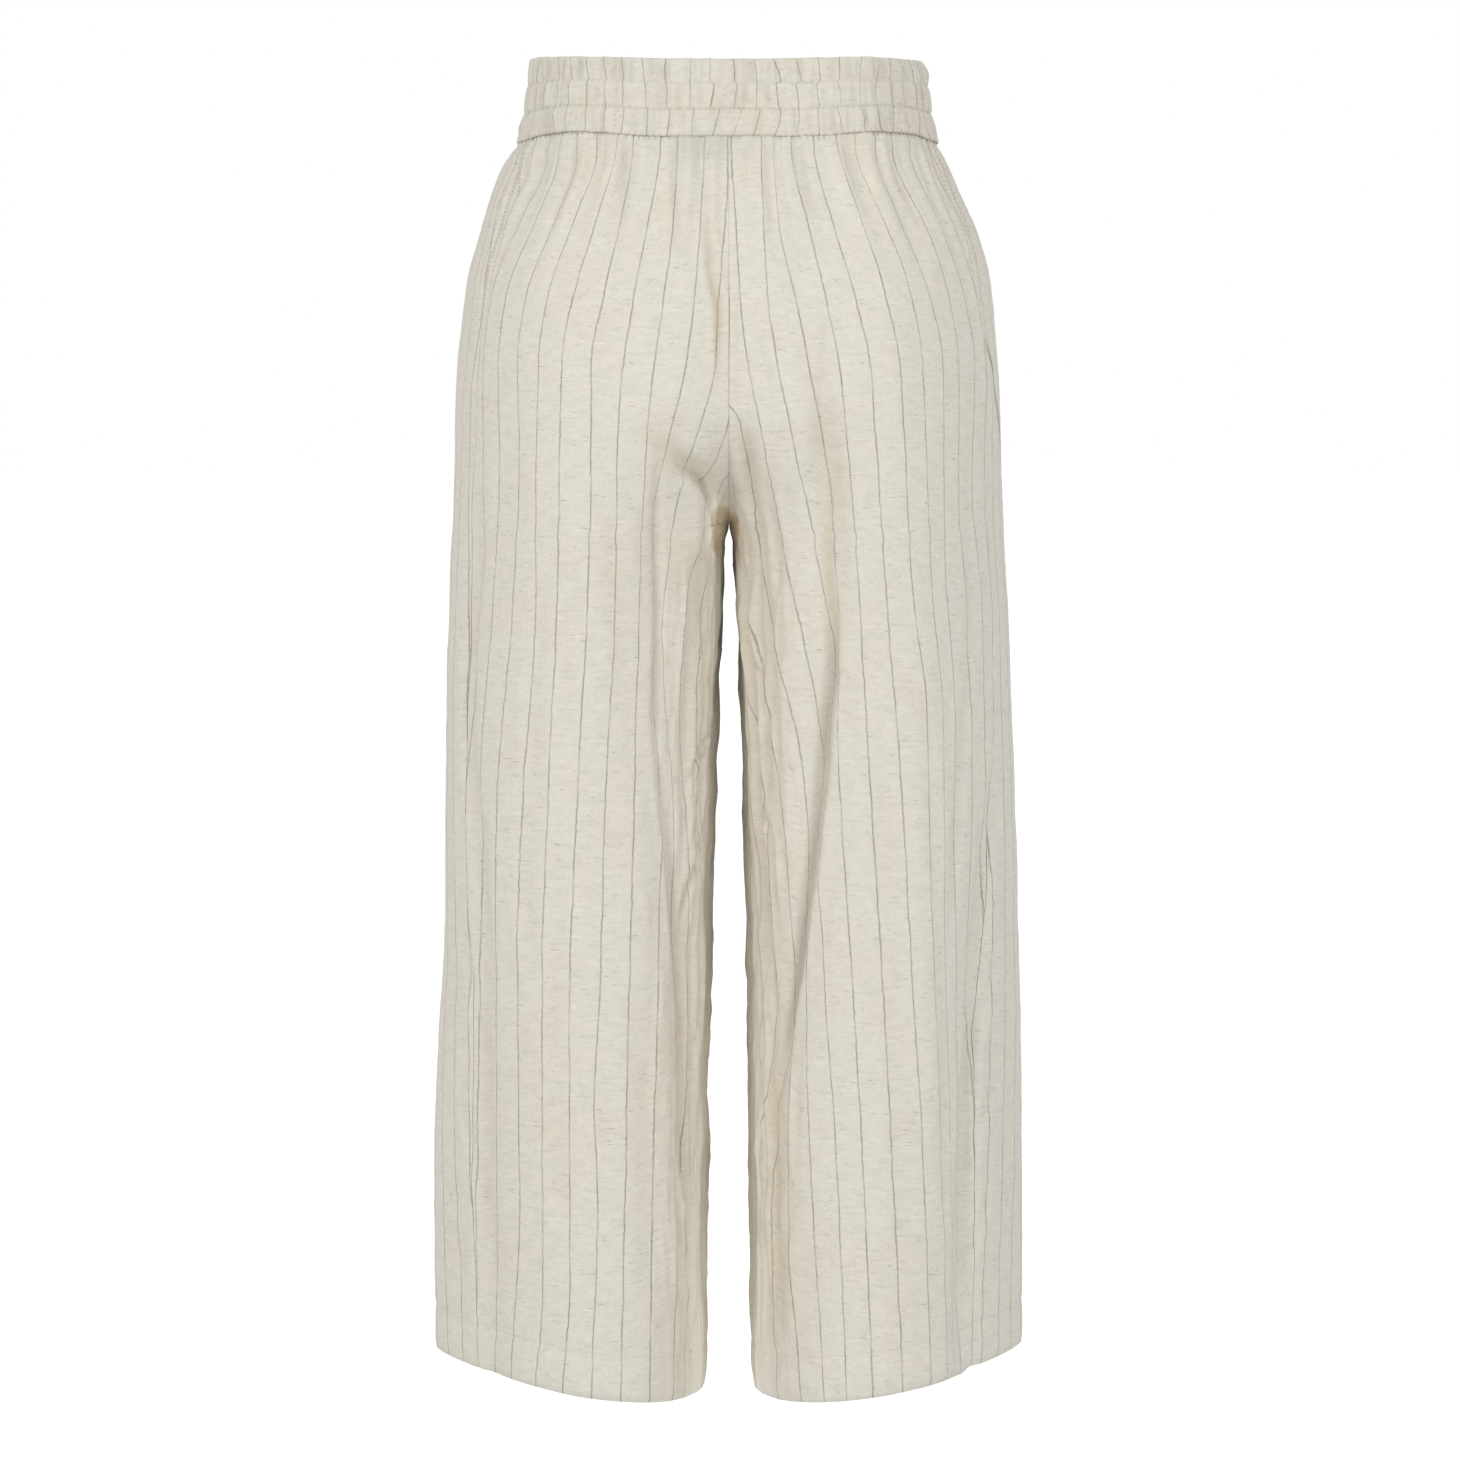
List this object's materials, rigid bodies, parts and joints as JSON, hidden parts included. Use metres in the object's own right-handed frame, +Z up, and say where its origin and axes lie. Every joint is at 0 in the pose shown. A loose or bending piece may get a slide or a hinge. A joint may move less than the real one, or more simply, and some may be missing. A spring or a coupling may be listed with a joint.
{
  "type": "culottes",
  "caption": "Wide-leg cropped trousers with a gathered elastic waistband, pinstriped linen-blend cloth and turned-up hems, filled out as worn.",
  "frame": {"origin": "centre of the waist at the waistband's mid-height, inside the empty hollow where a wearer holds the garment up", "axes": "+Z up towards the waist opening, -Y the wearer's front, +Y the seat, +X the wearer's left"},
  "size_m": [0.3951, 0.2659, 0.8859],
  "materials": {
    "panel_cloth": "matt natural linen-blend plain weave with thin grey-brown pinstripes along the leg",
    "band_cloth": "the same striped linen blend, gathered over elastic",
    "hem_cloth": "the reverse of the same linen blend, turned up inside the leg"
  },
  "bodies": {
    "root": {"waistband": "band_cloth", "back_left": "panel_cloth", "back_right": "panel_cloth", "front_left": "panel_cloth", "front_right": "panel_cloth", "hem_left": "hem_cloth", "hem_right": "hem_cloth"}
  },
  "joints": []
}
